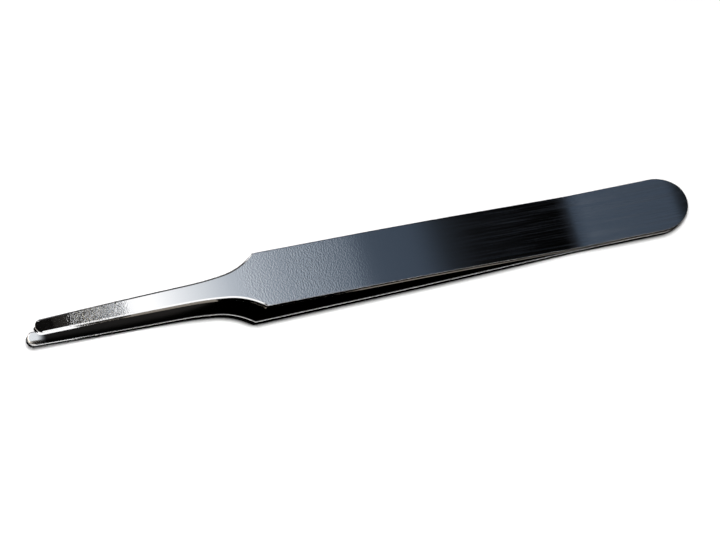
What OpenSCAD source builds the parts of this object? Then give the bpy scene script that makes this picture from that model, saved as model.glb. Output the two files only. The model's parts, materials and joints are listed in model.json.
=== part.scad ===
// Flat round-tip precision tweezers: two stamped steel blades, ground thin towards
// tip and tail, laid face to face and welded at the round tail.
// They lie on a table as they come to rest, on the knee and the tail end of the lower blade.

/* [Overall] */
// Length from the tips to the end of the tail
overall_len = 120; // [105:1:160]
// Width of the blades where they are held
body_w = 9.6; // [7.5:0.1:13]

/* [Nose and shoulders, seen from above] */
// Distance from the tips to the shoulder corners
shoulder_x = 39.2; // [34:0.1:52]
// Width that the sides of the nose reach level with the very tip
tip_w = 2.45; // [1.6:0.05:3.2]
// Angle by which each side of the nose widens from the tip
nose_taper = 0.9; // [0.3:0.1:1.5]
// Length of the hollow that leads from the side of the nose out to the shoulder corner
shoulder_run = 12.8; // [9:0.1:16]
// Radius of the hollow at the shoulder corner
shoulder_r = 12; // [9:0.5:16]
// Radius that takes the sharpness off the shoulder corner
corner_r = 0.5; // [0.3:0.1:1.5]
// Radius of the hollow at the neck, where it leaves the side of the nose
neck_r = 60; // [45:1:90]

/* [Tail, seen from above] */
// How much smaller than half the width the radius of the very end of the tail is
tail_tuck = 0.7; // [0.2:0.1:2]
// How much larger than half the width the radius of the flanks beside that end is
flank_swell = 1.8; // [0.5:0.1:5]

/* [Blade thickness] */
// Thickness at the welded tail
tail_t = 1.2; // [0.8:0.05:1.6]
// Thickness at the knee, where the blade stops opening fast
knee_t = 1.45; // [1:0.05:1.8]
// Thickness at the bow in the neck
bow_t = 1.55; // [1.1:0.05:2]
// Thickness at the tip
tip_t = 1.2; // [0.7:0.05:1.6]

/* [Bends, seen from the side] */
// Length of the tail in which the two blades are welded face to face
weld_len = 20.5; // [12:0.5:24]
// Angle by which each blade leaves the weld
splay_angle = 4.2; // [3:0.1:5.5]
// Inner radius of the splay bend
splay_r = 60; // [15:5:120]
// Length of the blade between the splay bend and the knee
rear_len = 32; // [26:1:42]
// Angle by which the knee bends the blade back
knee_angle = 2.2; // [1.5:0.1:2.8]
// Inner radius of the knee
knee_r = 500; // [100:20:800]
// Distance from the tips to the middle of the bow
bow_x = 24.5; // [20:0.5:32]
// Angle by which the long bow turns the nose inwards
bow_angle = 5.2; // [4:0.1:6]
// Inner radius of the bow
bow_r = 380; // [200:10:480]

/* [Hidden] */
$fn = 180;

// Facets on the long radii
long_fn = 1440;
// Length by which a cutter or a blank runs past what it trims
over = 5;
// Depth by which an arc crosses the line or arc that it leads into, so that they
// meet at a clear edge
bite = 0.002;
// Shortest straight stretch between two bends
least_straight = 1;

// Side view of one blade, x from the tail end towards the tip and y outwards.
// Slope of each stretch: weld, rear, grip and nose
slopes = [0, splay_angle, splay_angle - knee_angle, splay_angle - knee_angle - bow_angle];
// Corners of the inner face before they are rounded
splay_corner = [weld_len, 0];
knee_corner = splay_corner + rear_len * [cos(slopes[1]), sin(slopes[1])];
grip_len = (overall_len - bow_x - knee_corner[0]) / cos(slopes[2]);
bow_corner = knee_corner + grip_len * [cos(slopes[2]), sin(slopes[2])];
nose_len = (bow_x + over) / cos(slopes[3]);
nose_end = bow_corner + nose_len * [cos(slopes[3]), sin(slopes[3])];
inner = [[0, 0], splay_corner, knee_corner, bow_corner, nose_end];
// Thickness at each corner, square to the blade: the nose thins evenly past the tip
nose_end_t = bow_t - (bow_t - tip_t) * (bow_x + over) / bow_x;
thickness = [tail_t, tail_t, knee_t, bow_t, nose_end_t];
// The knee and the bow reach into the grip from both ends. In a short grip both are
// bent tighter, so that they still fit
knee_reach = (knee_r + knee_t) * tan(knee_angle / 2);
bow_reach = (bow_r + bow_t) * tan(bow_angle / 2);
ease = min(1, (grip_len - least_straight) / (knee_reach + bow_reach));
// Radius of each bend on the inner face, and whether it turns outwards
bend_r = [0, splay_r, knee_r * ease, bow_r * ease, 0];
turn = [0, 1, -1, -1, 0];

// Slope of the mitre at corner i, halfway between the stretches that meet there
function mitre(i) = (slopes[max(i - 1, 0)] + slopes[min(i, 3)]) / 2;
outer = [for (i = [0:4]) inner[i] + thickness[i] * [-sin(mitre(i)), cos(mitre(i))]];
// Radius of each bend on the outer face
outer_r = [for (i = [0:4]) bend_r[i] - turn[i] * thickness[i]];

function unit(v) = v / norm(v);
// Half of the angle between the lines from corner b to a and to c
function half_angle(a, b, c) = acos(unit(a - b) * unit(c - b)) / 2;
// Direction from corner b into that angle
function inward(a, b, c) = unit(unit(a - b) + unit(c - b));
// Centre of the arc of radius r that rounds corner b
function arc_centre(a, b, c, r) = b + inward(a, b, c) * r / sin(half_angle(a, b, c));

// Point at distance a from p and b from q, on the left on the way from p to q
function third_corner(p, a, q, b) =
    let (d = norm(q - p), along = (q - p) / d, s = (a * a - b * b + d * d) / (2 * d))
        p + s * along + sqrt(a * a - s * s) * [-along[1], along[0]];

// Angle of the line from the tail end that touches the arc of bend i from outside
function touch_angle(i) =
    let (d = arc_centre(outer[i - 1], outer[i], outer[i + 1], outer_r[i]) - outer[0])
        atan2(d[1], d[0]) + asin((outer_r[i] + bite) / norm(d));
// The tool rests on its tail end and on the knee or, in other sizes, on the bow
rest_tilt = max(touch_angle(2), touch_angle(3));

// Plan view, x from the tip towards the tail.
// Round tip: it touches the end line and both sides of the nose
tip_r = tip_w / 2 * cos(nose_taper) / (1 - sin(nose_taper));
// The hollow is two arcs. The neck leaves the side of the nose without an edge
neck_x = shoulder_x - shoulder_run;
neck_start = [neck_x, tip_w / 2 + neck_x * tan(nose_taper)];
neck_centre = neck_start + neck_r * [-sin(nose_taper), cos(nose_taper)];
// The shoulder goes on from the neck without an edge and ends in the corner
shoulder_corner = [shoulder_x, body_w / 2];
shoulder_centre = third_corner(shoulder_corner, shoulder_r, neck_centre, neck_r - shoulder_r);
neck_end = neck_centre + neck_r * unit(shoulder_centre - neck_centre);
// Centre of the small arc that rounds the corner between the shoulder and the side
corner_y = body_w / 2 - corner_r;
corner_run = sqrt(pow(shoulder_r + corner_r, 2) - pow(shoulder_centre[1] - corner_y, 2));
corner_centre = [shoulder_centre[0] + corner_run, corner_y];
// Radii of the tail's end and flanks, and their centres: the sides lead into the
// flanks and the flanks into the end, all without an edge
tail_end_r = body_w / 2 - tail_tuck;
tail_flank_r = body_w / 2 + flank_swell;
end_x = overall_len - tail_end_r;
flank_x = end_x - sqrt(pow(tail_flank_r - tail_end_r, 2) - pow(flank_swell, 2));
flank_end_x = flank_x + tail_flank_r * (end_x - flank_x) / (tail_flank_r - tail_end_r);

// What lies between the corner at b and the arc of radius r that rounds it,
// with an apex that reaches away from the arc's centre by depth
module corner_fill(a, b, c, r, depth) {
    reach = r / tan(half_angle(a, b, c));
    difference() {
        polygon([b + unit(a - b) * reach, b - inward(a, b, c) * depth, b + unit(c - b) * reach]);
        translate(arc_centre(a, b, c, r)) circle(r = r + bite, $fn = long_fn);
    }
}

// Bend i on one face, across the whole width: the arc that rounds its corner
module bend(face, i, r) {
    across() corner_fill(face[i - 1], face[i], face[i + 1], r[i], tail_t / 2);
}

// Stands a side view up, across the whole width of the blank
module across() {
    rotate([90, 0, 0])
        linear_extrude(height = body_w + 2 * over, center = true)
            children();
}

// Blank of one blade, x from the tail end towards the tip: each bend is filled on its
// hollow face and cut on its full face
module blank() {
    difference() {
        union() {
            across() polygon(concat(inner, [for (i = [4:-1:0]) outer[i]]));
            bend(outer, 1, outer_r);
            bend(inner, 2, bend_r);
            bend(inner, 3, bend_r);
        }
        bend(inner, 1, bend_r);
        bend(outer, 2, outer_r);
        bend(outer, 3, outer_r);
    }
}

// What is cut from one side of the blank to leave the nose, the neck and the shoulder
module shoulder_cut() {
    polygon([
        [-over, tip_w / 2 - over * tan(nose_taper)],
        neck_start,
        [neck_x, body_w],
        [-over, body_w]
    ]);
    intersection() {
        translate(neck_centre) circle(r = neck_r + bite, $fn = long_fn);
        translate([neck_x - over, 0]) square([neck_end[0] - neck_x + over, body_w]);
    }
    translate(shoulder_centre) circle(r = shoulder_r + 2 * bite);
    corner_cut();
}

// What is cut from the shoulder corner to round it: the wedge, seen from the centre of
// its arc, between the side and the shoulder
module corner_cut() {
    to_shoulder = unit(shoulder_centre - corner_centre);
    difference() {
        polygon([
            corner_centre,
            corner_centre + 2 * corner_r * [0, 1],
            corner_centre + 2 * (shoulder_corner - corner_centre),
            corner_centre + 2 * corner_r * to_shoulder
        ]);
        translate(corner_centre) circle(r = corner_r + bite);
    }
}

// What the flank on one side leaves of the tail
module flank_limit() {
    translate([-over, -body_w]) square([flank_x + over, 2 * body_w]);
    translate([flank_x, -flank_swell]) circle(r = tail_flank_r + bite);
}

// Outline of the blades seen from above
module outline() {
    translate([tip_r, 0]) circle(r = tip_r + bite);
    difference() {
        intersection() {
            translate([tip_r, -body_w / 2]) square([flank_end_x - tip_r, body_w]);
            flank_limit();
            mirror([0, 1]) flank_limit();
        }
        shoulder_cut();
        mirror([0, 1]) shoulder_cut();
    }
    translate([end_x, 0]) circle(r = tail_end_r + 2 * bite);
}

// One blade with its inner face on z = 0 at the weld and its outer face up
module blade() {
    intersection() {
        translate([overall_len, 0, 0]) mirror([1, 0, 0]) blank();
        translate([0, 0, -over])
            linear_extrude(height = body_w + 2 * over)
                outline();
    }
}

// Puts the tool as it lies: the middle of its length at x = 0 and the table at z = 0
module at_rest() {
    translate([overall_len / 2 * cos(rest_tilt), 0, tail_t * cos(rest_tilt)])
        rotate([0, rest_tilt, 0])
            translate([-overall_len, 0, 0])
                children();
}

module upper_arm() {
    color([0.52, 0.56, 0.62]) at_rest() blade();
}

module lower_arm() {
    color([0.38, 0.41, 0.46]) at_rest() mirror([0, 0, 1]) blade();
}

upper_arm();
lower_arm();
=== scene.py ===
"""Flat round-tip precision tweezers: both finished blades, the studio round them and the camera.

The blades are made in the tool's own frame, with x from the tips to the tail end and z up from the plane
in which the blades meet. Then they are laid in the row frame, where the floor is at z = 0.
"""

import json
import logging
import math
from dataclasses import dataclass, field
from enum import Enum

import bmesh
import bpy
from mathutils import Matrix, Vector

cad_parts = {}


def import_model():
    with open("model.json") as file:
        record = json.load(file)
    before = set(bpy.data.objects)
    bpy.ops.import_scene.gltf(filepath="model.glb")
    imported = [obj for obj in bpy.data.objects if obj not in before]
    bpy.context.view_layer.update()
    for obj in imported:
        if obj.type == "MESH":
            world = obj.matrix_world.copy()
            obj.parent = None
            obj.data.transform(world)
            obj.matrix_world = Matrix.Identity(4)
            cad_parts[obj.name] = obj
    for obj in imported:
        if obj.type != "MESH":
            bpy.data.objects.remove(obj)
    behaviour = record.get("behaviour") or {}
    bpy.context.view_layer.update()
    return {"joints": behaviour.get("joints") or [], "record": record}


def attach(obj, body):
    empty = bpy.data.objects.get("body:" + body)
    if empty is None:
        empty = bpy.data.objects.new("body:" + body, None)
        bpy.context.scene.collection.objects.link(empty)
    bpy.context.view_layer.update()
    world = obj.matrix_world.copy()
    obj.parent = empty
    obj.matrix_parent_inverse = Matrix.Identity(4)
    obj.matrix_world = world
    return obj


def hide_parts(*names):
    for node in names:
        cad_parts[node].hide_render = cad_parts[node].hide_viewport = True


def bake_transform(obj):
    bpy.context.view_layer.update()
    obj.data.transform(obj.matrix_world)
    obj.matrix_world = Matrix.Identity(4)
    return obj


log = logging.getLogger("tweezers")

MM = 0.001
# Places closer together than this count as the same
SAME_PLACE = 0.01 * MM
# Points closer together than this are merged
MERGE = 0.001 * MM

Span = tuple[float, float]
Pairs = tuple[tuple[float, float], ...]
Colour = tuple[float, float, float]

WHITE: Colour = (1.0, 1.0, 1.0)
BLACK: Colour = (0.0, 0.0, 0.0)


class Arm(Enum):
    """The two blades, by the name of the node and of the body that each stands for."""

    UPPER = "upper_arm"
    LOWER = "lower_arm"


class Face(Enum):
    """The two broad faces of a blade."""

    INNER = 0
    OUTER = 1


class Rounded(Enum):
    """What a rounding takes off, by Blender's word for it."""

    EDGES = "EDGES"
    CORNERS = "VERTICES"


# The forms of the blade


@dataclass(frozen=True)
class Bend:
    """One corner of a blade's face, seen from the side.

    Attributes:
        x: Distance of the corner from the tail end.
        z: Height of the corner over the mating plane.
        radius: Radius of the arc that rounds the corner.
    """

    x: float
    z: float
    radius: float = 0.0


@dataclass(frozen=True)
class SideView:
    """Side view of one blade over the mating plane, from the tail end to the tip."""

    length: float = 120 * MM
    # The tail, in which the two blades are welded face to face
    weld_len: float = 20.5 * MM
    # The bend by which the blade leaves the weld
    splay_angle: float = math.radians(4.2)
    splay_radius: float = 60 * MM
    # The outer face is ground a little thinner there, so it bends this much closer to the tip
    outer_splay: float = 1.8 * MM
    # The stretch up to the knee, and the knee, which bends the blade back
    rear_len: float = 32 * MM
    knee_angle: float = math.radians(2.2)
    knee_radius: float = 500 * MM
    # The long bow, which turns the nose inwards
    bow_to_tip: float = 24.5 * MM
    bow_angle: float = math.radians(5.2)
    bow_radius: float = 380 * MM
    # Thickness at the tail, the knee, the bow and the tip
    tail_t: float = 1.2 * MM
    knee_t: float = 1.45 * MM
    bow_t: float = 1.55 * MM
    tip_t: float = 1.2 * MM

    def slopes(self) -> list[float]:
        """Works out how steeply each stretch opens.

        Returns:
            The slope of the weld, the rear, the grip and the nose.
        """
        rear = self.splay_angle
        grip = rear - self.knee_angle
        return [0.0, rear, grip, grip - self.bow_angle]

    def bends(self, face: Face) -> list[Bend]:
        """Finds the corners of one face.

        Args:
            face: The broad face to follow.

        Returns:
            The corners from the tail end to the tip, with the radius at each.
        """
        slope = self.slopes()
        knee_x = self.weld_len + self.rear_len * math.cos(slope[1])
        knee_z = self.rear_len * math.sin(slope[1])
        bow_x = self.length - self.bow_to_tip
        bow_z = knee_z + (bow_x - knee_x) * math.tan(slope[2])
        tip_z = bow_z + self.bow_to_tip * math.tan(slope[3])
        inner = [(0.0, 0.0), (self.weld_len, 0.0), (knee_x, knee_z), (bow_x, bow_z), (self.length, tip_z)]
        radii = [0.0, self.splay_radius, self.knee_radius, self.bow_radius, 0.0]
        if face is Face.INNER:
            return [Bend(x, z, r) for (x, z), r in zip(inner, radii)]
        thick = [self.tail_t, self.tail_t, self.knee_t, self.bow_t, self.tip_t]
        outwards = [0, 1, -1, -1, 0]
        later = [0.0, self.outer_splay, 0.0, 0.0, 0.0]
        found = []
        for i, (x, z) in enumerate(inner):
            mitre = (slope[max(i - 1, 0)] + slope[min(i, 3)]) / 2
            outer_x = x + later[i] - thick[i] * math.sin(mitre)
            outer_z = z + thick[i] * math.cos(mitre)
            found.append(Bend(outer_x, outer_z, radii[i] - outwards[i] * thick[i]))
        return found

    def height(self, bends: list[Bend], x: float) -> float:
        """Follows a face through its bends.

        Args:
            bends: The corners of the face.
            x: Distance from the tail end.

        Returns:
            The height of the face over the mating plane there.
        """
        for before, here, after in zip(bends, bends[1:], bends[2:]):
            slope_in = math.atan2(here.z - before.z, here.x - before.x)
            slope_out = math.atan2(after.z - here.z, after.x - here.x)
            reach = here.radius * math.tan(abs(slope_out - slope_in) / 2)
            if here.x - reach * math.cos(slope_in) < x < here.x + reach * math.cos(slope_out):
                side = 1 if slope_out > slope_in else -1
                mitre = (slope_in + slope_out) / 2
                to_centre = side * here.radius / math.cos((slope_out - slope_in) / 2)
                centre_x = here.x - to_centre * math.sin(mitre)
                centre_z = here.z + to_centre * math.cos(mitre)
                return centre_z - side * math.sqrt(here.radius**2 - (x - centre_x) ** 2)
        for here, after in zip(bends, bends[1:]):
            if x <= after.x or after is bends[-1]:
                return here.z + (x - here.x) * (after.z - here.z) / (after.x - here.x)
        return bends[-1].z


@dataclass(frozen=True)
class TopView:
    """Outline of the blades seen from above, x from the tip towards the tail."""

    length: float = 120 * MM
    width: float = 9.6 * MM
    # Distance from the tips to the shoulder corners
    shoulder_x: float = 39.2 * MM
    # Width that the sides of the nose reach level with the very tip, and how each side widens from there
    tip_width: float = 2.45 * MM
    nose_taper: float = math.radians(0.9)
    # The hollow from the side of the nose out to the shoulder corner: its length and its two radii
    shoulder_run: float = 12.8 * MM
    shoulder_radius: float = 12 * MM
    neck_radius: float = 60 * MM
    # How much smaller than half the width the radius of the very end of the tail is
    tail_tuck: float = 0.7 * MM
    # How much larger than half the width the radius of the flanks beside that end is
    flank_swell: float = 1.8 * MM

    def draw_half(self, pen: "Pen") -> None:
        """Draws the outline on the +Y side, from the tip to the tail end.

        Args:
            pen: The pen, which stands at the tip.
        """
        half = self.width / 2
        taper = self.nose_taper
        tip_radius = self.tip_width / 2 * math.cos(taper) / (1 - math.sin(taper))
        neck_x = self.shoulder_x - self.shoulder_run
        neck_start = Vector((neck_x, self.tip_width / 2 + neck_x * math.tan(taper), 0))
        neck = neck_start + self.neck_radius * Vector((-math.sin(taper), math.cos(taper), 0))
        corner = Vector((self.shoulder_x, half, 0))
        shoulder = third_corner(corner, self.shoulder_radius, neck, self.neck_radius - self.shoulder_radius)
        end_radius = half - self.tail_tuck
        flank_radius = half + self.flank_swell
        end = Vector((self.length - end_radius, 0, 0))
        apart = math.sqrt((flank_radius - end_radius) ** 2 - self.flank_swell**2)
        flank = Vector((end.x - apart, -self.flank_swell, 0))

        pen.arc(Vector((tip_radius, 0, 0)), taper - math.pi / 2)
        pen.line_to(neck_start)
        pen.arc(neck, heading(shoulder - neck) - (taper - math.pi / 2))
        pen.arc(shoulder, heading(corner - shoulder) - heading(shoulder - neck))
        pen.line_to(Vector((flank.x, half, 0)))
        pen.arc(flank, heading(end - flank) - math.pi / 2)
        pen.arc(end, -heading(end - flank))

    def is_shoulder(self, place: Vector) -> bool:
        """Tells whether a place on the outline is a shoulder corner."""
        off = Vector((place.x - self.shoulder_x, abs(place.y) - self.width / 2))
        return off.length < SAME_PLACE


def heading(v: Vector) -> float:
    """Returns the angle of a vector in the XY plane, from +X towards +Y."""
    return math.atan2(v.y, v.x)


def third_corner(p: Vector, a: float, q: Vector, b: float) -> Vector:
    """Finds the third corner of a triangle.

    Args:
        p: One corner.
        a: Distance of the third corner from p.
        q: The other corner.
        b: Distance of the third corner from q.

    Returns:
        The corner on the left on the way from p to q.
    """
    span = (q - p).length
    along = (q - p) / span
    foot = (a * a - b * b + span * span) / (2 * span)
    return p + along * foot + Vector((-along.y, along.x, 0)) * math.sqrt(a * a - foot * foot)


class Pen:
    """Draws a chain of edges on a bmesh."""

    # Fewest edges of an arc, and the largest turn from one of them to the next, in degrees
    fewest_edges: int = 2
    largest_turn: float = 6

    def __init__(self, bm: bmesh.types.BMesh, start: Vector, step: float = 1 * MM) -> None:
        """Puts the pen down.

        Args:
            bm: The mesh to draw on.
            start: Where the chain starts.
            step: Longest edge on an arc.
        """
        self.bm = bm
        self.step = step
        self.at = bm.verts.new(start)

    def line_to(self, point: Vector) -> None:
        """Draws a straight edge.

        Args:
            point: Where the edge ends.
        """
        made = bmesh.ops.extrude_vert_indiv(self.bm, verts=[self.at])
        self.at = made["verts"][0]
        self.at.co = point

    def arc(self, centre: Vector, angle: float) -> None:
        """Draws an arc.

        Args:
            centre: The centre of the arc.
            angle: How far it goes round, anticlockwise where it is above 0.
        """
        by_length = abs(angle) * (self.at.co - centre).length / self.step
        by_turn = math.degrees(abs(angle)) / self.largest_turn
        made = bmesh.ops.spin(
            self.bm,
            geom=[self.at],
            cent=centre,
            axis=(0, 0, 1),
            angle=angle,
            steps=max(self.fewest_edges, math.ceil(by_length), math.ceil(by_turn)),
            use_duplicate=False,
        )
        self.at = next(g for g in made["geom_last"] if isinstance(g, bmesh.types.BMVert))


def fill_mirrored(bm: bmesh.types.BMesh) -> None:
    """Mirrors half an outline to the -Y side and fills the whole with one face."""
    bmesh.ops.mirror(bm, geom=list(bm.verts) + list(bm.edges), axis="Y", merge_dist=MERGE)
    bmesh.ops.contextual_create(bm, geom=list(bm.edges))


def round_off(bm: bmesh.types.BMesh, geom: list, reach: float, what: Rounded) -> None:
    """Rounds edges, or the corners of a flat outline.

    Args:
        bm: The mesh.
        geom: The edges or the corner points.
        reach: Distance from them at which the rounding starts.
        what: Which of the two they are.
    """
    bmesh.ops.bevel(
        bm,
        geom=geom,
        offset=reach,
        offset_type="OFFSET",
        segments=4,
        profile=0.5,
        affect=what.value,
        material=-1,
    )


@dataclass
class Blade:
    """One blade: stamped, its edges broken, the edge of its nose chamfered, then bent.

    Until it is bent, the blank lies flat, with its inner face at z = 0 and its outer face up.
    """

    arm: Arm
    side: SideView = field(default_factory=SideView)
    top: TopView = field(default_factory=TopView)
    blank_t: float = 1.35 * MM
    # The torn part of the stamped wall, next to the inner face, leans out
    torn_height: float = 0.6 * MM
    torn_lean: float = 0.07 * MM
    # Radii of the broken edges
    outer_rim: float = 0.05 * MM
    inner_rim: float = 0.2 * MM
    # Narrow rings beside the edges of the wall and of the inner face keep them flat between the rings
    wall_ring: float = 0.04 * MM
    inner_ring: float = 0.14 * MM
    # Distance from the shoulder corner at which its rounding starts
    corner_reach: float = 0.18 * MM
    # The polished chamfer along the outer edge: width and drop of each of its rings, from the edge inwards
    chamfer: Pairs = (
        (0.03 * MM, 0.075 * MM),
        (0.14 * MM, 0.064 * MM),
        (0.03 * MM, 0.011 * MM),
        (0.06 * MM, 0.0),
        (0.2 * MM, 0.0),
    )
    # It comes in behind the round tip and goes out at the shoulder, between these distances from the tip
    chamfer_starts: Span = (0.3 * MM, 1.3 * MM)
    chamfer_ends: Span = (38.7 * MM, 39.5 * MM)
    # The outer face falls off evenly over the tip, and ever faster over the tail end
    tip_facet: float = 3.1 * MM
    tip_drop: float = 0.035 * MM
    tail_roll: float = 3.6 * MM
    tail_drop: float = 0.07 * MM
    # Longest edges on the arcs of the outline, and steps between the cuts at which the blank can bend
    arc_step: float = 0.35 * MM
    bend_step: float = 0.8 * MM
    fine_step: float = 0.2 * MM
    # The upper blade flexes between these distances from the tail end when it closes
    flex: Span = (18.5 * MM, 50 * MM)

    def wall_rings(self) -> list[Span]:
        """Works out the rings of the stamped wall, from the inner face to the outer one.

        Returns:
            How far each ring leans in, and how far it rises.
        """
        ring = self.wall_ring
        torn_top = self.torn_height
        rim_top = self.inner_rim + ring
        cut_top = self.blank_t - self.outer_rim - self.chamfer[0][1] - 2 * ring
        rings = []
        below = 0.0
        for height in (rim_top, torn_top - ring, torn_top, torn_top + ring, cut_top, self.blank_t):
            torn = max(min(height, torn_top) - below, 0.0)
            rings.append((self.torn_lean * torn / torn_top, height - below))
            below = height
        return rings

    def stamp(self, bm: bmesh.types.BMesh) -> None:
        """Cuts the flat blank, with its wall torn next to the inner face and clean above.

        Args:
            bm: The empty mesh to fill.
        """
        self.top.draw_half(Pen(bm, Vector((0, 0, 0)), self.arc_step))
        fill_mirrored(bm)
        corners = [v for v in bm.verts if self.top.is_shoulder(v.co)]
        round_off(bm, corners, self.corner_reach, Rounded.CORNERS)
        sheet = next(iter(bm.faces))
        if sheet.normal.z < 0:
            bmesh.ops.reverse_faces(bm, faces=[sheet])
        for lean, rise in self.wall_rings():
            bmesh.ops.inset_individual(bm, faces=[sheet], thickness=lean, depth=rise, use_even_offset=True)
        bmesh.ops.contextual_create(bm, geom=[e for e in bm.edges if e.is_boundary])
        bmesh.ops.recalc_face_normals(bm, faces=list(bm.faces))

    def break_edges(self, bm: bmesh.types.BMesh) -> None:
        """Rounds the rims of both broad faces, the inner ones more.

        Args:
            bm: The flat blank.
        """
        for height, radius in ((self.blank_t, self.outer_rim), (0.0, self.inner_rim)):
            rims = [e for e in bm.edges if all(abs(v.co.z - height) < SAME_PLACE for v in e.verts)]
            round_off(bm, rims, radius, Rounded.EDGES)

    def chamfer_share(self, x: float) -> float:
        """Works out how much of the chamfer there is at one place.

        Args:
            x: Distance from the tip.

        Returns:
            1 on the nose and 0 on the body.
        """
        share = 1.0
        for none, full in (self.chamfer_starts, self.chamfer_ends[::-1]):
            share = min(share, max((x - none) / (full - none), 0.0))
        return share

    def polish(self, bm: bmesh.types.BMesh) -> None:
        """Chamfers the outer edge of the nose, and rings both broad faces so that they shade flat.

        Args:
            bm: The flat blank with its edges broken.
        """
        outer = max(bm.faces, key=lambda f: f.normal.z * f.calc_area())
        inner = max(bm.faces, key=lambda f: -f.normal.z * f.calc_area())
        # The whole rim sinks with the chamfer: it reaches one radius down, and nothing lies close below
        below_rim = self.blank_t - 1.5 * self.outer_rim
        for v in bm.verts:
            if v.co.z > below_rim:
                v.co.z -= self.chamfer[0][1] * self.chamfer_share(v.co.x)
        for width, drop in self.chamfer:
            for v in outer.verts:
                v.co.z = self.blank_t - drop * self.chamfer_share(v.co.x)
            bmesh.ops.inset_individual(bm, faces=[outer], thickness=width, use_even_offset=True)
        bmesh.ops.inset_individual(bm, faces=[inner], thickness=self.inner_ring, use_even_offset=True)

    def score(self, bm: bmesh.types.BMesh) -> None:
        """Cuts the blank across at close steps so that it can be bent.

        Args:
            bm: The flat blank.
        """
        roll_start = self.side.length - self.tail_roll
        coarse = round(self.side.length / self.bend_step)
        fine = round(self.tail_roll / self.fine_step)
        cuts = [i * self.side.length / coarse for i in range(1, coarse)]
        cuts += [roll_start + i * self.fine_step for i in range(fine)]
        # A cut on either side of the facet's edge keeps that edge crisp
        cuts += [self.tip_facet + i * self.fine_step for i in (-1, 0, 1)]
        for cut in cuts:
            near = [f for f in bm.faces if min(v.co.x for v in f.verts) < cut < max(v.co.x for v in f.verts)]
            verts = {v for f in near for v in f.verts}
            edges = {e for f in near for e in f.edges}
            bmesh.ops.bisect_plane(
                bm,
                geom=list(verts) + list(edges) + near,
                dist=MERGE,
                plane_co=(cut, 0, 0),
                plane_no=(1, 0, 0),
            )
        bmesh.ops.remove_doubles(bm, verts=list(bm.verts), dist=2 * MERGE)

    def bend(self, bm: bmesh.types.BMesh) -> None:
        """Keeps each point's place on the flat blank for the steel, then bends and tapers the blank.

        Args:
            bm: The scored blank.
        """
        blank = bm.verts.layers.float_vector.new("blank")
        faces = [self.side.bends(Face.INNER), self.side.bends(Face.OUTER)]
        roll_start = self.side.length - self.tail_roll
        for v in bm.verts:
            v[blank] = v.co
            low, high = (self.side.height(bends, self.side.length - v.co.x) for bends in faces)
            high -= self.tail_drop * (max(v.co.x - roll_start, 0.0) / self.tail_roll) ** 2
            high -= self.tip_drop * max(1 - v.co.x / self.tip_facet, 0.0)
            v.co.z = low + (high - low) * v.co.z / self.blank_t

    def make(self, lay: Matrix) -> bpy.types.Object:
        """Builds the blade where it lies.

        Args:
            lay: Takes the tool's own frame to the row frame.

        Returns:
            The blade's object, which stands for its node.
        """
        bm = bmesh.new()
        self.stamp(bm)
        self.break_edges(bm)
        self.polish(bm)
        self.score(bm)
        self.bend(bm)
        if self.arm is Arm.LOWER:
            bmesh.ops.scale(bm, vec=(1, 1, -1), verts=list(bm.verts))
            bmesh.ops.reverse_faces(bm, faces=list(bm.faces))
        bmesh.ops.transform(bm, matrix=lay, verts=list(bm.verts))
        for f in bm.faces:
            f.smooth = True
        name = self.arm.value.replace("arm", "blade")
        piece = add_object(name, bm)
        log.info("%s: %d faces", name, len(piece.data.polygons))
        return piece


def add_object(name: str, bm: bmesh.types.BMesh) -> bpy.types.Object:
    """Turns a bmesh into an object of the scene, and frees the bmesh.

    Args:
        name: The object's name.
        bm: The mesh, in the row frame.

    Returns:
        The new object.
    """
    mesh = bpy.data.meshes.new(name)
    bm.to_mesh(mesh)
    bm.free()
    made = bpy.data.objects.new(name, mesh)
    bpy.context.scene.collection.objects.link(made)
    return made


# Shader maths


class Socket:
    """A node's output with arithmetic: each operator adds a Math node."""

    def __init__(self, nodes: "Nodes", socket: bpy.types.NodeSocket) -> None:
        """Wraps an output of one of the nodes."""
        self.nodes = nodes
        self.socket = socket

    def _math(self, operation: str, a: "Socket | float", b: "Socket | float") -> "Socket":
        """Returns the result of a Math node on a and b."""
        return self.nodes.make("ShaderNodeMath", {"operation": operation}, {0: a, 1: b})

    def __add__(self, other: "Socket | float") -> "Socket":
        """Returns the sum."""
        return self._math("ADD", self, other)

    __radd__ = __add__

    def __sub__(self, other: "Socket | float") -> "Socket":
        """Returns the difference."""
        return self._math("SUBTRACT", self, other)

    def __rsub__(self, other: "Socket | float") -> "Socket":
        """Returns the difference, the other way round."""
        return self._math("SUBTRACT", other, self)

    def __mul__(self, other: "Socket | float") -> "Socket":
        """Returns the product."""
        return self._math("MULTIPLY", self, other)

    __rmul__ = __mul__

    def maximum(self, other: "Socket | float") -> "Socket":
        """Returns the larger of the two."""
        return self._math("MAXIMUM", self, other)


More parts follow.
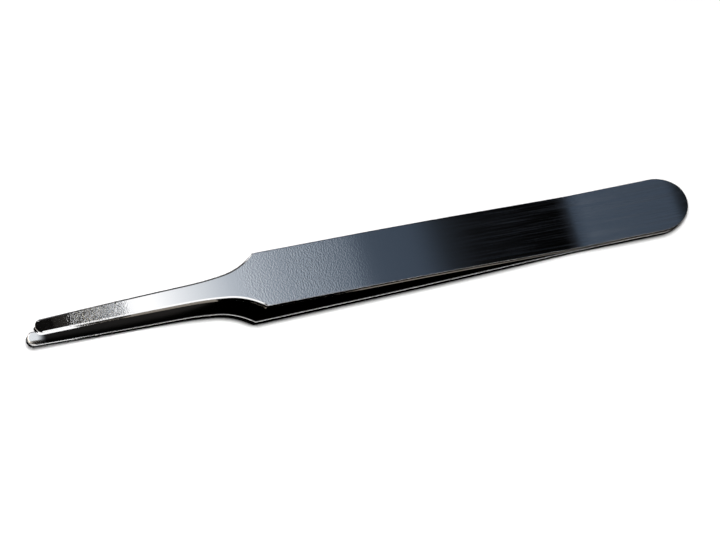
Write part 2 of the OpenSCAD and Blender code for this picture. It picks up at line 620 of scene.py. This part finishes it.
class Nodes:
    """Builds the node tree of a material or world."""

    def __init__(self, tree: bpy.types.NodeTree) -> None:
        """Takes over a tree and empties it."""
        self.tree = tree
        tree.nodes.clear()

    def make(
        self,
        kind: str,
        settings: dict[str, object] | None = None,
        inputs: dict[str | int, object] | None = None,
        output: str | int = 0,
    ) -> Socket:
        """Adds a node.

        Args:
            kind: The node's type.
            settings: Properties of the node. "stops" are a ramp's positions with their colours.
            inputs: Values or Sockets for the node's inputs.
            output: Name or number of the output to return.

        Returns:
            The chosen output, wrapped.
        """
        node = self.tree.nodes.new(kind)
        for name, value in (settings or {}).items():
            if name == "stops":
                self._set_stops(node.color_ramp, value)
            else:
                setattr(node, name, value)
        for name, value in (inputs or {}).items():
            if isinstance(value, Socket):
                self.tree.links.new(value.socket, node.inputs[name])
            else:
                node.inputs[name].default_value = value
        return Socket(self, node.outputs[output]) if len(node.outputs) else Socket(self, None)

    @staticmethod
    def _set_stops(ramp: bpy.types.ColorRamp, stops: list[tuple[float, Colour]]) -> None:
        """Puts the stops of a colour ramp in place.

        Args:
            ramp: The ramp.
            stops: Each stop's position with its colour.
        """
        while len(ramp.elements) < len(stops):
            ramp.elements.new(1.0)
        for element, (position, colour) in zip(ramp.elements, stops):
            element.position = position
            element.color = (*colour, 1.0)

    @staticmethod
    def _colour(value: "Socket | Colour") -> object:
        """Returns a colour with its alpha, or a Socket as it is."""
        return value if isinstance(value, Socket) else (*value, 1.0)

    def part(self, vector: Socket, axis: str) -> Socket:
        """Returns one component of a vector, by the name of its axis."""
        return self.make("ShaderNodeSeparateXYZ", inputs={0: vector}, output=axis)

    def ramp(self, value: Socket, low: float, high: float) -> Socket:
        """Returns 0 where value is at low, 1 at high, and a smooth step between."""
        settings = {"interpolation_type": "SMOOTHSTEP"}
        return self.make("ShaderNodeMapRange", settings, {"Value": value, "From Min": low, "From Max": high})

    def mix(self, share: Socket, a: "Socket | Colour", b: "Socket | Colour") -> Socket:
        """Returns colour a where share is 0 and colour b where it is 1."""
        # Inputs 6 and 7 are the two colours
        inputs = {"Factor": share, 6: self._colour(a), 7: self._colour(b)}
        return self.make("ShaderNodeMix", {"data_type": "RGBA"}, inputs, output=2)

    def mix_shaders(self, share: Socket, a: Socket, b: Socket) -> Socket:
        """Returns shader a where share is 0 and shader b where it is 1."""
        return self.make("ShaderNodeMixShader", inputs={0: share, 1: a, 2: b})

    def paint(self, colour: Colour) -> Socket:
        """Returns a matt shader."""
        return self.make("ShaderNodeBsdfDiffuse", inputs={"Color": self._colour(colour)})

    def shine(self, colour: "Socket | Colour", strength: float = 1.0) -> Socket:
        """Returns a shader that gives light."""
        return self.make("ShaderNodeEmission", inputs={"Color": self._colour(colour), "Strength": strength})

    def sky(self, colour: "Socket | Colour", strength: float = 1.0) -> Socket:
        """Returns a shader for the surroundings."""
        inputs = {"Color": self._colour(colour), "Strength": strength}
        return self.make("ShaderNodeBackground", inputs=inputs)


def new_material(name: str) -> tuple[bpy.types.Material, Nodes]:
    """Adds a material.

    Args:
        name: Its name.

    Returns:
        The material and its empty node tree.
    """
    material = bpy.data.materials.new(name)
    material.use_nodes = True
    return material, Nodes(material.node_tree)


@dataclass(frozen=True)
class SatinSteel:
    """Stainless steel: a fine grain in front, lengthwise strokes behind, painted shade between the blades
    and a painted reflection on the inner faces at the tips.
    """

    name: str = "satin_steel"
    colour: Colour = (0.56, 0.56, 0.565)
    roughness: float = 0.07
    # The inner faces are dull, and their colour is painted near black: painted shade between the blades
    inner_shade_colour: Colour = (0.017, 0.015, 0.0135)
    inner_roughness: float = 0.16
    # A painted reflection makes the inner faces bright and warm at the tips, and it gives way to the painted
    # shade between these distances from the tip
    tip_glint_colour: Colour = (1.0, 0.95, 0.89)
    glint_to_shade: Span = (1.6 * MM, 3.4 * MM)
    # Height over the inner face of the blank at which the outside starts
    skin: float = 0.03 * MM
    # The grain is of fine worms, which rise as the noise passes between the two grain_edges
    grain_size: float = 0.27 * MM
    grain_depth: float = 0.017 * MM
    grain_distortion: float = 0.6
    grain_edges: Span = (0.38, 0.62)
    # It comes and goes between these distances from the tip, on the nose and, fainter, on the body
    grain_starts: Span = (4.5 * MM, 9 * MM)
    grain_ends: Span = (13.5 * MM, 16.5 * MM)
    body_grain_starts: Span = (34 * MM, 38 * MM)
    body_grain_ends: Span = (46 * MM, 64 * MM)
    body_share: float = 0.2
    # The strokes run lengthwise. The steel darkens and dulls as their noise passes between the two
    # stroke_edges, and they come in between the two distances from the tip in strokes_start
    stroke_colour: Colour = (0.42, 0.43, 0.45)
    stroke_roughness: float = 0.09
    stroke_width: float = 0.16 * MM
    stroke_len: float = 14 * MM
    stroke_depth: float = 0.0006 * MM
    stroke_edges: Span = (0.44, 0.64)
    strokes_start: Span = (66 * MM, 88 * MM)

    def material(self) -> bpy.types.Material:
        """Builds the material, which follows each point's place on the flat blank.

        Returns:
            The material.
        """
        material, nodes = new_material(self.name)
        blank = nodes.make("ShaderNodeAttribute", {"attribute_name": "blank"}, output="Vector")
        along = nodes.part(blank, "X")
        inner = 1 - nodes.ramp(nodes.part(blank, "Z"), 0.0, self.skin)
        # Mask of the painted shade: the inner faces turn near black beyond the tips
        shaded_inner = inner * nodes.ramp(along, *self.glint_to_shade)
        behind = nodes.ramp(along, *self.strokes_start)
        nose = nodes.ramp(along, *self.grain_starts) * (1 - nodes.ramp(along, *self.grain_ends))
        body = nodes.ramp(along, *self.body_grain_starts) * (1 - nodes.ramp(along, *self.body_grain_ends))

        grain = nodes.make(
            "ShaderNodeTexNoise",
            inputs={
                "Vector": blank,
                "Scale": 1 / self.grain_size,
                "Detail": 0.0,
                "Distortion": self.grain_distortion,
            },
        )
        stretched = nodes.make(
            "ShaderNodeMapping",
            {"vector_type": "POINT"},
            {"Vector": blank, "Scale": (1 / self.stroke_len, 1 / self.stroke_width, 1 / self.stroke_width)},
        )
        strokes = nodes.make("ShaderNodeTexNoise", inputs={"Vector": stretched, "Scale": 1.0, "Detail": 3.0})
        rough_strokes = nodes.ramp(strokes, *self.stroke_edges) * behind
        worms = nodes.ramp(grain, *self.grain_edges)
        relief = (
            worms * (nose + body * self.body_share) * (1 - inner) * self.grain_depth
            + strokes * behind * self.stroke_depth
        )
        bump = nodes.make("ShaderNodeBump", inputs={"Height": relief, "Distance": 1.0, "Strength": 1.0})
        streaked = nodes.mix(rough_strokes, self.colour, self.stroke_colour)
        # Painted reflection: the inner faces get a bright, warm colour at the tips
        steel_with_tip_glint = nodes.mix(inner - shaded_inner, streaked, self.tip_glint_colour)

        shader = nodes.make(
            "ShaderNodeBsdfPrincipled",
            inputs={
                "Base Color": nodes.mix(shaded_inner, steel_with_tip_glint, self.inner_shade_colour),
                "Metallic": 1.0,
                "Roughness": self.roughness
                + rough_strokes * self.stroke_roughness
                + shaded_inner * (self.inner_roughness - self.roughness),
                "Normal": bump,
            },
        )
        nodes.make("ShaderNodeOutputMaterial", inputs={"Surface": shader})
        return material


# The studio


class Seen(Enum):
    """Which rays meet a stage piece."""

    ALL = "all"
    REFLECTIONS = "reflections"


def add_stage(name: str, bm: bmesh.types.BMesh, material: bpy.types.Material, seen: Seen) -> None:
    """Adds a piece of the studio.

    Args:
        name: Its name.
        bm: Its mesh, in the row frame.
        material: Its material.
        seen: Which rays meet it.
    """
    piece = add_object(name, bm)
    piece.data.materials.append(material)
    if seen is Seen.REFLECTIONS:
        piece.visible_camera = False
        piece.visible_diffuse = False
        piece.visible_shadow = False
        piece.visible_transmission = False


def glow(name: str, colour: Colour, strength: float) -> bpy.types.Material:
    """Makes a material that shines evenly.

    Args:
        name: Its name.
        colour: The colour of its light.
        strength: The strength of its light, where 1 is white.

    Returns:
        The material.
    """
    material, nodes = new_material(name)
    nodes.make("ShaderNodeOutputMaterial", inputs={"Surface": nodes.shine(colour, strength)})
    return material


def level_panel(x_span: Span, y_span: Span, height: float) -> bmesh.types.BMesh:
    """Makes a level rectangle.

    Args:
        x_span: Its ends along X.
        y_span: Its ends along Y.
        height: Its height over the floor.

    Returns:
        The mesh of one face.
    """
    bm = bmesh.new()
    bmesh.ops.create_grid(bm, x_segments=1, y_segments=1, size=0.5)
    bmesh.ops.scale(bm, vec=(x_span[1] - x_span[0], y_span[1] - y_span[0], 1), verts=list(bm.verts))
    bmesh.ops.translate(bm, vec=(sum(x_span) / 2, sum(y_span) / 2, height), verts=list(bm.verts))
    return bm


@dataclass(frozen=True)
class Ceiling:
    """A graded light panel over the tool, which only reflections see.

    Attributes:
        height: Height over the floor.
        x_span: Its ends along X.
        y_span: Its ends along Y.
        tones: Brightness at places along X, each place in millimetres. It goes evenly from one to the next.
        warm_until: Place along X, in millimetres, up to which the light is warm.
        warm: Its colour there.
        red_fall: Power of the tone by which red falls beyond that place.
        blue_rise: Power of the tone by which blue rises beyond that place.
        tinted_from: Tone below which this tint goes out again.
    """

    height: float = 770 * MM
    x_span: Span = (-400 * MM, 1500 * MM)
    y_span: Span = (-150 * MM, 400 * MM)
    tones: Pairs = (
        (-400, 1.9),
        (-110, 1.9),
        (-30, 0.003),
        (96, 0.003),
        (100, 0.028),
        (114, 0.033),
        (140, 0.15),
        (157, 0.5),
        (176, 1.9),
        (202, 1.9),
        (232, 1.45),
        (300, 0.83),
        (350, 0.58),
        (384, 0.54),
        (392, 0.28),
        (404, 0.18),
        (424, 0.115),
        (480, 0.105),
        (516, 0.028),
        (552, 0.008),
        (584, 0.001),
    )
    warm_until: float = 150
    warm: Colour = (1.08, 1.0, 0.84)
    red_fall: float = 0.11
    blue_rise: float = 0.12
    tinted_from: float = 0.06

    def colour(self, at: float, tone: float) -> Colour:
        """Works out the panel's colour: neutral where it is brightest, and cooler the darker it is.

        Args:
            at: Place along X, in millimetres.
            tone: Brightness there.

        Returns:
            The colour as a share of the brightest white.
        """
        share = tone / self.brightest()
        if at < self.warm_until:
            return tuple(share * c for c in self.warm)
        tint = min(tone / self.tinted_from, 1.0)
        return share ** (1 + self.red_fall * tint), share, share ** (1 - self.blue_rise * tint)

    def brightest(self) -> float:
        """Returns the highest tone."""
        return max(tone for _, tone in self.tones)

    def make(self) -> None:
        """Hangs the panel."""
        material, nodes = new_material("ceiling_light")
        x = nodes.part(nodes.make("ShaderNodeTexCoord", output="Object"), "X")
        first, last = self.tones[0][0] * MM, self.tones[-1][0] * MM
        stops = [((at * MM - first) / (last - first), self.colour(at, tone)) for at, tone in self.tones]
        share = nodes.make("ShaderNodeMapRange", inputs={"Value": x, "From Min": first, "From Max": last})
        colour = nodes.make("ShaderNodeValToRGB", {"stops": stops}, {"Fac": share}, output="Color")
        nodes.make("ShaderNodeOutputMaterial", inputs={"Surface": nodes.shine(colour, self.brightest())})
        panel = level_panel(self.x_span, self.y_span, self.height)
        add_stage("ceiling_light", panel, material, Seen.REFLECTIONS)


@dataclass(frozen=True)
class ShadowFlag:
    """A black card under the tool, which only the steel sees: painted shadow, which darkens the floor that
    the walls reflect where the tool's shadow lies.

    Attributes:
        lift: Height over the floor.
        edge: Half of its width at places along X, both in millimetres.
    """

    lift: float = 0.02 * MM
    edge: Pairs = (
        (-68, 4.2),
        (-62.6, 4.2),
        (-62, 2.6),
        (-51, 3.0),
        (-49.5, 7.5),
        (-42, 7.5),
        (-40.5, 3.5),
        (-26.5, 4.3),
        (-25.8, 10.5),
        (-17, 11),
        (-6, 9.6),
        (0, 8.3),
        (18, 7.4),
        (26, 7.1),
        (34, 6.7),
        (44, 6.15),
        (52, 5.95),
        (62, 5.7),
    )

    def make(self) -> None:
        """Lays the card."""
        bm = bmesh.new()
        pen = Pen(bm, Vector((self.edge[0][0] * MM, 0, self.lift)))
        for x, half in self.edge:
            pen.line_to(Vector((x, half, 0)) * MM + Vector((0, 0, self.lift)))
        pen.line_to(Vector((self.edge[-1][0] * MM, 0, self.lift)))
        fill_mirrored(bm)
        # The card is painted shadow, which only reflections see
        add_stage("reflected_shadow_flag", bm, glow("reflected_shadow_black", BLACK, 0.0), Seen.REFLECTIONS)


@dataclass(frozen=True)
class EdgeLight:
    """A level light panel beside the ceiling, which the chamfer along one edge of the nose reflects.

    Attributes:
        name: Its name.
        x_span: Its ends along X.
        y_span: Its ends along Y.
        height: Height over the floor.
        strength: Its brightness, where 1 is white.
    """

    name: str
    x_span: Span
    y_span: Span
    height: float = 770 * MM
    strength: float = 1.9

    def make(self) -> None:
        """Hangs the panel."""
        panel = level_panel(self.x_span, self.y_span, self.height)
        add_stage(self.name, panel, glow(self.name, WHITE, self.strength), Seen.REFLECTIONS)


@dataclass(frozen=True)
class Studio:
    """A white floor, surroundings that are bright at the horizon and dark overhead, and the lights."""

    floor_size: float = 6.0
    floor_white: float = 0.97
    # Distances from the middle between which the lit floor turns into one that is white by itself
    lit_floor: Span = (110 * MM, 400 * MM)
    # The contact shadow looks this far for the tool, and goes from black to none between these open shares
    contact_reach: float = 1.4 * MM
    contact_shares: Span = (0.42, 0.94)
    contact_samples: int = 16
    # What the steel reflects of the floor: warm beside the tool, and bright round its tips, which ends
    # between these two places along X
    warm: Colour = (0.34, 0.305, 0.26)
    bright: float = 1.8
    bright_ends: Span = (-50 * MM, -48 * MM)
    # The light that matt surfaces get from all round
    ambient: Colour = (0.02, 0.018, 0.016)
    # Brightness at the horizon, and heights over which that goes out, as the sine of the angle: on the
    # near side, which lights the thin lower edges, and on the far side
    near_white: float = 4.4
    near_band: Span = (0.1, 0.2)
    far_white: float = 0.8
    far_band: Span = (0.03, 0.08)
    # Directions along Y between which the near side turns into the far side
    near_to_far: Span = (-0.1, 0.1)
    # Over the bands the room is grey, and dark overhead: the brightness of both and the heights between them
    side_grey: float = 0.2
    dim: float = 0.03
    overhead: Span = (0.35, 0.75)
    lamp_power: float = 7.2
    lamp_size: float = 200 * MM
    lamp_place: tuple[float, float, float] = (-0.21, -0.1, 0.73)
    ceiling: Ceiling = Ceiling()
    # Painted shadow on the floor, as the steel reflects it
    flag: ShadowFlag = ShadowFlag()
    near_light: EdgeLight = EdgeLight("near_edge_light", (-300 * MM, 285 * MM), (-520 * MM, -160 * MM))
    far_light: EdgeLight = EdgeLight("far_edge_light", (-300 * MM, 60 * MM), (450 * MM, 1050 * MM))

    def floor(self) -> None:
        """Lays the floor: white with the tool's shadow, and warmer and dimmer in the steel."""
        material, nodes = new_material("pale_floor")
        place = nodes.make("ShaderNodeTexCoord", output="Object")
        distance = nodes.make("ShaderNodeVectorMath", {"operation": "LENGTH"}, {0: place}, output="Value")
        open_air = nodes.make(
            "ShaderNodeAmbientOcclusion",
            {"samples": self.contact_samples},
            {"Distance": self.contact_reach},
            output="AO",
        )
        contact = nodes.ramp(open_air, *self.contact_shares)
        lit = nodes.mix_shaders(contact, nodes.paint(BLACK), nodes.paint((self.floor_white,) * 3))
        white = nodes.mix_shaders(nodes.ramp(distance, *self.lit_floor), lit, nodes.shine(WHITE))
        before_tips = 1 - nodes.ramp(nodes.part(place, "X"), *self.bright_ends)
        in_steel = nodes.shine(nodes.mix(before_tips, self.warm, (self.bright,) * 3))
        glossy = nodes.make("ShaderNodeLightPath", output="Is Glossy Ray")
        shown = nodes.mix_shaders(glossy, white, in_steel)
        nodes.make("ShaderNodeOutputMaterial", inputs={"Surface": shown})
        bm = bmesh.new()
        bmesh.ops.create_grid(bm, x_segments=1, y_segments=1, size=self.floor_size / 2)
        add_stage("floor", bm, material, Seen.ALL)

    def world(self) -> None:
        """Sets the surroundings: pale to the camera, and in the steel bright only near the horizon."""
        world = bpy.data.worlds.new("white_room")
        world.use_nodes = True
        nodes = Nodes(world.node_tree)
        direction = nodes.make("ShaderNodeTexCoord", output="Generated")
        z = nodes.part(direction, "Z")
        far = nodes.ramp(nodes.part(direction, "Y"), *self.near_to_far)
        above = nodes.ramp(z, *self.near_band) * (1 - far) + nodes.ramp(z, *self.far_band) * far
        pale = nodes.sky(WHITE, self.far_white)
        horizon = nodes.mix_shaders(far, nodes.sky(WHITE, self.near_white), pale)
        grey = nodes.mix(nodes.ramp(z, *self.overhead), (self.side_grey,) * 3, (self.dim,) * 3)
        reflected = nodes.mix_shaders(above, horizon, nodes.sky(grey))
        camera = nodes.make("ShaderNodeLightPath", output="Is Camera Ray")
        through = nodes.make("ShaderNodeLightPath", output="Is Transmission Ray")
        glossy = nodes.make("ShaderNodeLightPath", output="Is Glossy Ray")
        direct = nodes.mix_shaders(camera.maximum(through), nodes.sky(self.ambient), pale)
        shown = nodes.mix_shaders(glossy, direct, reflected)
        nodes.make("ShaderNodeOutputWorld", inputs={"Surface": shown})
        bpy.context.scene.world = world

    def lamp(self) -> None:
        """Hangs the soft lamp that lights the floor and casts the tool's shadow."""
        data = bpy.data.lights.new("key_lamp", "AREA")
        data.size = self.lamp_size
        data.energy = self.lamp_power
        lamp = bpy.data.objects.new("key_lamp", data)
        lamp.location = self.lamp_place
        lamp.rotation_mode = "QUATERNION"
        lamp.rotation_quaternion = (-lamp.location).to_track_quat("-Z", "Y")
        lamp.visible_glossy = False
        bpy.context.scene.collection.objects.link(lamp)

    def build(self) -> None:
        """Builds the whole studio."""
        self.floor()
        self.world()
        self.lamp()
        for piece in (self.ceiling, self.flag, self.near_light, self.far_light):
            piece.make()
        log.info("studio built")


@dataclass(frozen=True)
class PhotoCamera:
    """The camera, placed by angles round a target in the tool's own frame."""

    azimuth: float = math.radians(-52.7)
    elevation: float = math.radians(64.2)
    roll: float = math.radians(38.2)
    distance: float = 729 * MM
    target: tuple[float, float, float] = (58.60 * MM, -0.45 * MM, 0.0)
    lens: float = 216.6
    # The nearest and the farthest that the camera sees
    clip: Span = (10 * MM, 20.0)

    def place(self, lay: Matrix) -> None:
        """Adds the camera and makes it the scene's.

        Args:
            lay: Takes the tool's own frame to the row frame.
        """
        back = Vector((
            math.sin(self.azimuth) * math.cos(self.elevation),
            -math.cos(self.azimuth) * math.cos(self.elevation),
            math.sin(self.elevation),
        ))
        right = (-back).cross(Vector((0, 0, 1))).normalized()
        up = right.cross(-back)
        across = math.cos(self.roll) * right + math.sin(self.roll) * up
        over = math.cos(self.roll) * up - math.sin(self.roll) * right
        pose = Matrix((across, over, back)).transposed().to_4x4()
        pose.translation = Vector(self.target) + back * self.distance
        data = bpy.data.cameras.new("camera")
        data.lens = self.lens
        data.clip_start = self.clip[0]
        data.clip_end = self.clip[1]
        camera = bpy.data.objects.new("camera", data)
        camera.matrix_world = lay @ pose
        bpy.context.scene.collection.objects.link(camera)
        bpy.context.scene.camera = camera


def lay_of(frame: dict, side: SideView) -> Matrix:
    """Finds how the tool lies, from the underside of the tail and the hinge, which is at the splay corner.

    Args:
        frame: The loaded frame.
        side: The side view of the blades.

    Returns:
        The matrix from the tool's own frame to the row frame.
    """
    mounts = {m["name"]: m for m in frame["record"]["mounts"]}
    down = Vector(mounts["tail_bottom"]["axis"])
    tilt = math.atan2(-down.x, -down.z)
    hinge = Vector(frame["joints"][0]["pos_m"])
    return (
        Matrix.Translation(hinge)
        @ Matrix.Rotation(tilt, 4, "Y")
        @ Matrix.Translation((side.weld_len - side.length, 0, 0))
    )


def main() -> None:
    """Builds the tool, the studio and the camera."""
    logging.basicConfig(level=logging.INFO, format="%(name)s: %(message)s")
    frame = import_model()
    bpy.context.scene.view_settings.view_transform = "Standard"

    steel = SatinSteel().material()
    blades = [Blade(Arm.UPPER), Blade(Arm.LOWER)]
    lay = lay_of(frame, blades[0].side)
    for blade in blades:
        piece = blade.make(lay)
        piece.data.materials.append(steel)
        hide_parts(blade.arm.value)
        if blade.arm is Arm.LOWER:
            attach(piece, blade.arm.value)
        else:
            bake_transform(piece)

    Studio().build()
    PhotoCamera().place(lay)


if __name__ == "__main__":
    main()
